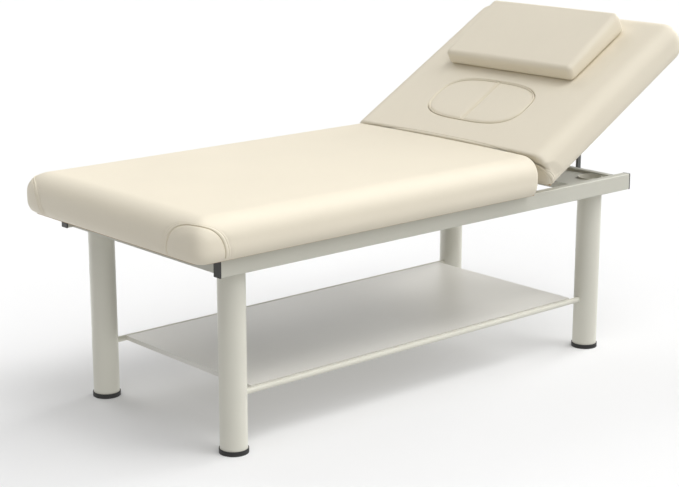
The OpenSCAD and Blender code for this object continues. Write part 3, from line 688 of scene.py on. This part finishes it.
def plug_outline(count):
    """A half oval standing on the split, with round corners, at even steps along its length."""
    a, b, r = opening_a - PLUG_GAP, opening_b - 1.5 * PLUG_GAP, PLUG_ROUND
    start = math.asin((r / b) ** (OVAL_POWER / 2))
    x, y = oval(np.linspace(start, math.pi - start, 400), a, b)
    turn = np.linspace(0, math.pi / 2, 30)[1:]
    left = np.stack([-a + r - r * np.cos(turn), r - r * np.sin(turn)], -1)
    right = np.stack([a - r + r * np.sin(turn), r - r * np.cos(turn)], -1)
    edge = np.stack([np.linspace(-a + r, a - r, 120)[1:], np.zeros(119)], -1)
    loop = np.concatenate([np.stack([x, y], -1), left, edge, right])
    loop = np.concatenate([loop, loop[:1]])
    walked = np.concatenate([[0], np.cumsum(np.hypot(*np.diff(loop, axis=0).T))])
    even = np.linspace(0, walked[-1], count + 1)[:-1]
    return np.stack([np.interp(even, walked, loop[:, 0]), np.interp(even, walked, loop[:, 1])], -1)


def plug_rings(count):
    """A plug as rings: up the wall, over the welt by insetting the outline, and in to the middle by
    shrinking it. The bottom closes in the same way. Each ring is its plan and its height."""
    loop = plug_outline(count)
    ahead = np.roll(loop, -1, 0) - np.roll(loop, 1, 0)
    ahead /= np.linalg.norm(ahead, axis=1, keepdims=True)
    inward = np.stack([-ahead[:, 1], ahead[:, 0]], -1)
    middle = np.array([0.0, opening_b * 0.45])
    rings = []
    for share in (0.02, 0.3, 0.6, 0.9, 0.985):
        rings.append((middle + (loop - middle) * share, -plug_deep))
    for high in np.linspace(-plug_deep + 0.0015, -WELT * 0.8, 10):
        rings.append((loop, high))
    for turn in np.linspace(0, math.pi, 13)[1:-1]:
        inset = WELT * (1 - math.cos(turn)) / 2
        rings.append((loop + inward * inset, (WELT * 0.8 + WELT_HIGH) * math.sin(turn) - WELT * 0.8
                      if turn < math.pi / 2 else WELT_HIGH - (WELT_HIGH + PLUG_CREASE) * (1 - math.sin(turn))))
    base = loop + inward * (WELT + 0.0007)
    rings.append((base, -PLUG_CREASE))
    for share in (0.992, 0.98, 0.965, 0.94, 0.90, 0.84, 0.75, 0.62, 0.45, 0.28, 0.12, 0.02):
        rings.append((middle + (base - middle) * share,
                      PLUG_DOME * (1 - math.exp(-(1 - share) / 0.035)) + PLUG_RISE * (1 - share) - PLUG_CREASE))
    return rings


rings = plug_rings(PLUG_POINTS)
index = np.arange(len(rings) * PLUG_POINTS).reshape(len(rings), PLUG_POINTS)
after = np.roll(index, -1, axis=1)
quads = np.stack([index[:-1], after[:-1], after[1:], index[1:]], -1).reshape(-1, 4)
faces = quads.tolist() + [index[0, ::-1].tolist(), index[-1].tolist()]
for side, sign in (("left", 1), ("right", -1)):
    points = np.concatenate([np.column_stack([plan[:, 0] + opening_s, sign * (plan[:, 1] + PLUG_GAP / 2),
                                              np.full(PLUG_POINTS, plug_top + high)]) for plan, high in rings])
    plug = piece(f"plug_{side}", on_backrest(points), [face[::sign] for face in faces], vinyl, f"plug_{side}",
                 (f"plug_{side}_cover", f"plug_{side}_foam"))

# ---- Head cushion ----------------------------------------------------------
# A loose wedge of foam in a smooth vinyl cover, thin towards the hinge. Its
# edges are soft and its faces swell a little. It lies on the backrest.
PILLOW_EDGE = 0.016        # how far its edges are rounded
PILLOW_POWER = 2.3         # squareness of that rounding
PILLOW_CROWN = 0.003       # swell of the top
PILLOW_BULGE = (0.002, 0.003)    # swell of the ends and of the sides
pillow_low, pillow_high = flat_box("head_cushion_cover")
pillow_len, pillow_w, pillow_thick = pillow_high - pillow_low
PILLOW_THIN_SHARE = 50 / 70      # thickness at the hinge side over that at the head side


def pillow_shape(points):
    """A block of even thickness with each edge rounded by a squared quarter circle, then thinned
    towards the hinge. Its top and sides swell as a product of parabolas."""
    thin = pillow_thick * PILLOW_THIN_SHARE
    size = np.array([pillow_len, pillow_w, thin])
    spot = points - np.array([0, -pillow_w / 2, 0])
    core = np.clip(spot, PILLOW_EDGE, size - PILLOW_EDGE)
    offset = spot - core
    longest = np.abs(offset).max(1, keepdims=True)
    length = (np.abs(offset) ** PILLOW_POWER).sum(1, keepdims=True) ** (1 / PILLOW_POWER)
    spot = core + offset * np.where(length > 0, longest / np.maximum(length, 1e-12), 1)
    x, y, z = spot.T
    across, along = 2 * y / pillow_w - 1, 2 * x / pillow_len - 1
    high = z / thin
    z = z + (pillow_thick - thin) * (x / pillow_len) * high
    z = z + PILLOW_CROWN * ((1 - across ** 2) * (1 - along ** 2) - 0.6) * high ** 2
    bulge = 4 * high * (1 - high)
    y = y + PILLOW_BULGE[1] * across * (1 - along ** 2) * bulge * (np.abs(across) > 0.5)
    x = x + PILLOW_BULGE[0] * along * (1 - across ** 2) * bulge
    return np.stack([x, y - pillow_w / 2, z], -1) + np.array([pillow_low[0], 0, pillow_low[2]])


thin = pillow_thick * PILLOW_THIN_SHARE
edge, half_w = PILLOW_EDGE, pillow_w / 2
skin, quads = block_skin(steps((0, edge, 10), (edge, pillow_len - edge, 34), (pillow_len - edge, pillow_len, 10)),
                         steps((-half_w, edge - half_w, 10), (edge - half_w, half_w - edge, 60),
                               (half_w - edge, half_w, 10)),
                         steps((0, edge, 10), (edge, thin - edge, 6), (thin - edge, thin, 10)))
pillow = piece("head_cushion", on_backrest(pillow_shape(skin)), quads, vinyl, "head_cushion",
               ("head_cushion_cover", "head_cushion_foam"))

# ---- Boards and dust covers ------------------------------------------------
# The cushions' plywood boards show only from below, at their cut edges and
# holes. A black non-woven cloth is stapled over each board's underside.
PLY = ((0.42, 0.29, 0.17, 1), (0.56, 0.42, 0.27, 1))
CLOTH_BLACK = ((0.012, 0.012, 0.013, 1), (0.030, 0.030, 0.031, 1))


def dress(material, *nodes):
    """Gives CAD nodes a material."""
    for node in nodes:
        mesh = frame["nodes"][node].data
        mesh.materials.clear()
        mesh.materials.append(material)


plywood = Finish("plywood", Roughness=0.7, Specular_IOR_Level=0.25)
along_grain = plywood.node("Mapping", None, Vector=plywood.place(), Scale=(3.0, 60.0, 700.0))
fibre = plywood.node("TexNoise", None, Vector=along_grain, Scale=1.0, Detail=5.0, Distortion=0.6)
fleck = plywood.node("TexNoise", None, Vector=plywood.place(), Scale=180.0, Detail=3.0)
plywood.feed("Base Color", plywood.mix(fibre * 0.8 + fleck * 0.2, *PLY))
plywood.feed("Roughness", 0.62 + fibre * 0.2)
plywood.bump(fibre * 0.6 + fleck * 0.4, 0.0002, 0.5)
dress(plywood.material, "seat_board", "backrest_board")

felt = Finish("black_cloth", Roughness=0.9, Specular_IOR_Level=0.15)
dots = felt.node("TexVoronoi", {"feature": "F1"}, Vector=felt.place(), Scale=550.0)
hair = felt.node("TexNoise", None, Vector=felt.place(), Scale=1100.0, Detail=4.0)
felt.feed("Base Color", felt.mix(dots * 0.8 + hair * 0.4, *CLOTH_BLACK))
felt.feed("Roughness", 0.8 + hair * 0.2)
felt.bump(dots * 0.6 + hair * 0.4, 0.0003, 0.8)
dress(felt.material, "seat_dust_cover", "backrest_dust_cover")

# ---- Steel frame -----------------------------------------------------------
# Welded steel: two rectangular side rails, three cross rails, two plates and
# four round legs, in a pale warm grey powder coat with a fine orange peel.
# The legs and the shelf's rods and bars get a lighter copy of the coat, painted light, and the rest a darker copy,
# painted shade.
# Two copies of one coat: this one darkened a little as painted shade, the next lightened as painted light.
POWDER = (0.620, 0.610, 0.532)
LIT_LEG_POWDER = (0.725, 0.710, 0.620)
ORANGE_PEEL = 0.00010      # height of the ripples in the coat


def powder_coat(name, colour, rough):
    """Powder coat: a fine rippled skin, faint clouds of colour and a satin gloss that varies."""
    finish = Finish(name, Roughness=rough, Specular_IOR_Level=0.45)
    place = finish.place()
    peel = finish.node("TexNoise", None, Vector=place, Scale=420.0, Detail=3.0)
    cloud = finish.node("TexNoise", None, Vector=place, Scale=9.0, Detail=3.0)
    speck = finish.node("TexVoronoi", {"feature": "F1"}, Vector=place, Scale=900.0)
    finish.feed("Base Color", finish.mix(cloud * 0.6 + peel * 0.25 + speck * 0.15, shade(colour, 0.94),
                                         shade(colour, 1.04)))
    finish.feed("Roughness", rough - 0.06 + peel * 0.08 + cloud * 0.06)
    finish.bump(peel * 0.8 + speck * 0.2, ORANGE_PEEL, 0.45)
    return finish.material


enamel = powder_coat("frame_enamel", POWDER, 0.40)
# The legs' lighter copy of the coat is painted light.
leg_enamel_painted_light = powder_coat("leg_enamel_painted_light", LIT_LEG_POWDER, 0.36)
dress(enamel, "foot_cross_rail", "middle_cross_rail", "head_cross_rail", "foot_end_plate", "head_end_plate",
      "seat_tabs", "prop_lugs")
dress(leg_enamel_painted_light, "leg_foot_left", "leg_foot_right", "leg_head_left", "leg_head_right", "shelf_rod_left",
      "shelf_rod_right", "shelf_bars")

# The side rails are drawn tube, so their long outer edges are rounded.
TUBE_ROUND = 0.003               # outer radius along the rails' edges
LONG_EDGE = 0.3                  # only edges longer than this are rounded
SHARP_EDGE = 1.0                 # and only where the faces turn outwards by this many radians


def rounded_rail(node):
    """Copies a rail's CAD mesh, joins its loose triangles into flat faces, rounds the long outer
    edges and stands in for the node."""
    shape = bmesh.new()
    shape.from_mesh(frame["nodes"][node].data)
    bmesh.ops.remove_doubles(shape, verts=shape.verts, dist=1e-6)
    bmesh.ops.dissolve_limit(shape, angle_limit=0.01, verts=shape.verts, edges=shape.edges)
    long_edges = [edge for edge in shape.edges if edge.calc_length() > LONG_EDGE and len(edge.link_faces) == 2
                  and edge.calc_face_angle_signed() > SHARP_EDGE]
    bmesh.ops.bevel(shape, geom=long_edges, offset=TUBE_ROUND, offset_type="OFFSET", segments=4, profile=0.5,
                    affect="EDGES", clamp_overlap=False)
    mesh = bpy.data.meshes.new(node.replace("side_rail", "rail_tube"))
    shape.to_mesh(mesh)
    shape.free()
    mesh.materials.append(enamel)
    rail = add_object(mesh.name, mesh)
    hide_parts(node)
    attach(rail, "frame")


for side in ("left", "right"):
    rounded_rail(f"side_rail_{side}")

# ---- Shelf -----------------------------------------------------------------
# A board faced with greige laminate, screwed down to two flat bars that are
# welded between the shelf rods.
# The laminate's greige is lightened past its own tone: painted light, for light that the lamps don't bring under
# the table.
LIT_LAMINATE = ((0.700, 0.683, 0.630, 1), (0.780, 0.763, 0.710, 1))
LAMINATE_GRAIN = 0.00008
laminate = Finish("shelf_laminate", Roughness=0.4, Specular_IOR_Level=0.5)
streak = laminate.node("Mapping", None, Vector=laminate.place(), Scale=(14.0, 180.0, 180.0))
brushed = laminate.node("TexNoise", None, Vector=streak, Scale=1.0, Detail=4.0)
fine = laminate.node("TexNoise", None, Vector=laminate.place(), Scale=700.0, Detail=2.0)
broad = laminate.node("TexNoise", None, Vector=laminate.place(), Scale=4.0, Detail=2.0)
laminate.feed("Base Color", laminate.mix(brushed * 0.4 + fine * 0.25 + broad * 0.35, *LIT_LAMINATE))
laminate.feed("Roughness", 0.32 + fine * 0.1 + broad * 0.08)
laminate.bump(fine * 0.5 + brushed * 0.5, LAMINATE_GRAIN, 0.5)
dress(laminate.material, "shelf_panel")

# ---- Feet and caps ---------------------------------------------------------
# Moulded black rubber cups on the legs, and black plastic caps pushed into
# the ends of the side rails.
RUBBER_BLACK = (0.030, 0.030, 0.029)
CAP_BLACK = (0.045, 0.044, 0.042)
SPARK_GRAIN = 0.00012


def moulded(name, colour, rough, grain):
    """Moulded black rubber or plastic: a spark-eroded texture and slightly greyer high spots."""
    finish = Finish(name, Roughness=rough, Specular_IOR_Level=0.4)
    pit = finish.node("TexNoise", None, Vector=finish.place(), Scale=grain, Detail=4.0)
    worn = finish.node("TexNoise", None, Vector=finish.place(), Scale=35.0, Detail=3.0)
    finish.feed("Base Color", finish.mix(worn * 0.6 + pit * 0.4, shade(colour, 0.8), shade(colour, 1.35)))
    finish.feed("Roughness", rough - 0.08 + worn * 0.1 + pit * 0.08)
    finish.bump(pit, SPARK_GRAIN, 0.6)
    return finish.material


dress(moulded("rubber_black", RUBBER_BLACK, 0.6, 900.0), "rubber_foot_foot_left", "rubber_foot_foot_right",
      "rubber_foot_head_left", "rubber_foot_head_right")
dress(moulded("end_cap_black", CAP_BLACK, 0.45, 1200.0), "rail_end_caps")

# ---- Hinge and prop --------------------------------------------------------
# Bent steel straps and pins carry the backrest, and a pair of arms with a bar
# across holds it up in the notches of two racks. The straps, racks and arms
# are dark grey; pins and screws are zinc plated.
STEEL_DARK = (0.135, 0.138, 0.140)
ZINC = ((0.46, 0.47, 0.47, 1), (0.66, 0.66, 0.63, 1))
dress(powder_coat("grey_steel", STEEL_DARK, 0.42), "hinge_fixed_straps", "hinge_moving_straps", "prop_rack_left",
      "prop_rack_right", "prop_arm_left", "prop_arm_right", "prop_bar")
zinc = Finish("zinc_steel", Metallic=0.9, Roughness=0.35)
spangle = zinc.node("TexVoronoi", {"feature": "F1"}, Vector=zinc.place(), Scale=260.0)
haze = zinc.node("TexNoise", None, Vector=zinc.place(), Scale=600.0, Detail=3.0)
zinc.feed("Base Color", zinc.mix(spangle * 0.7 + haze * 0.3, *ZINC))
zinc.feed("Roughness", 0.26 + haze * 0.2 + spangle * 0.06)
zinc.bump(haze, 0.00005, 0.4)
dress(zinc.material, "hinge_pins", "hinge_strap_bolts", "hinge_strap_screws", "prop_pins", "rack_screws",
      "seat_bolts", "shelf_screws")
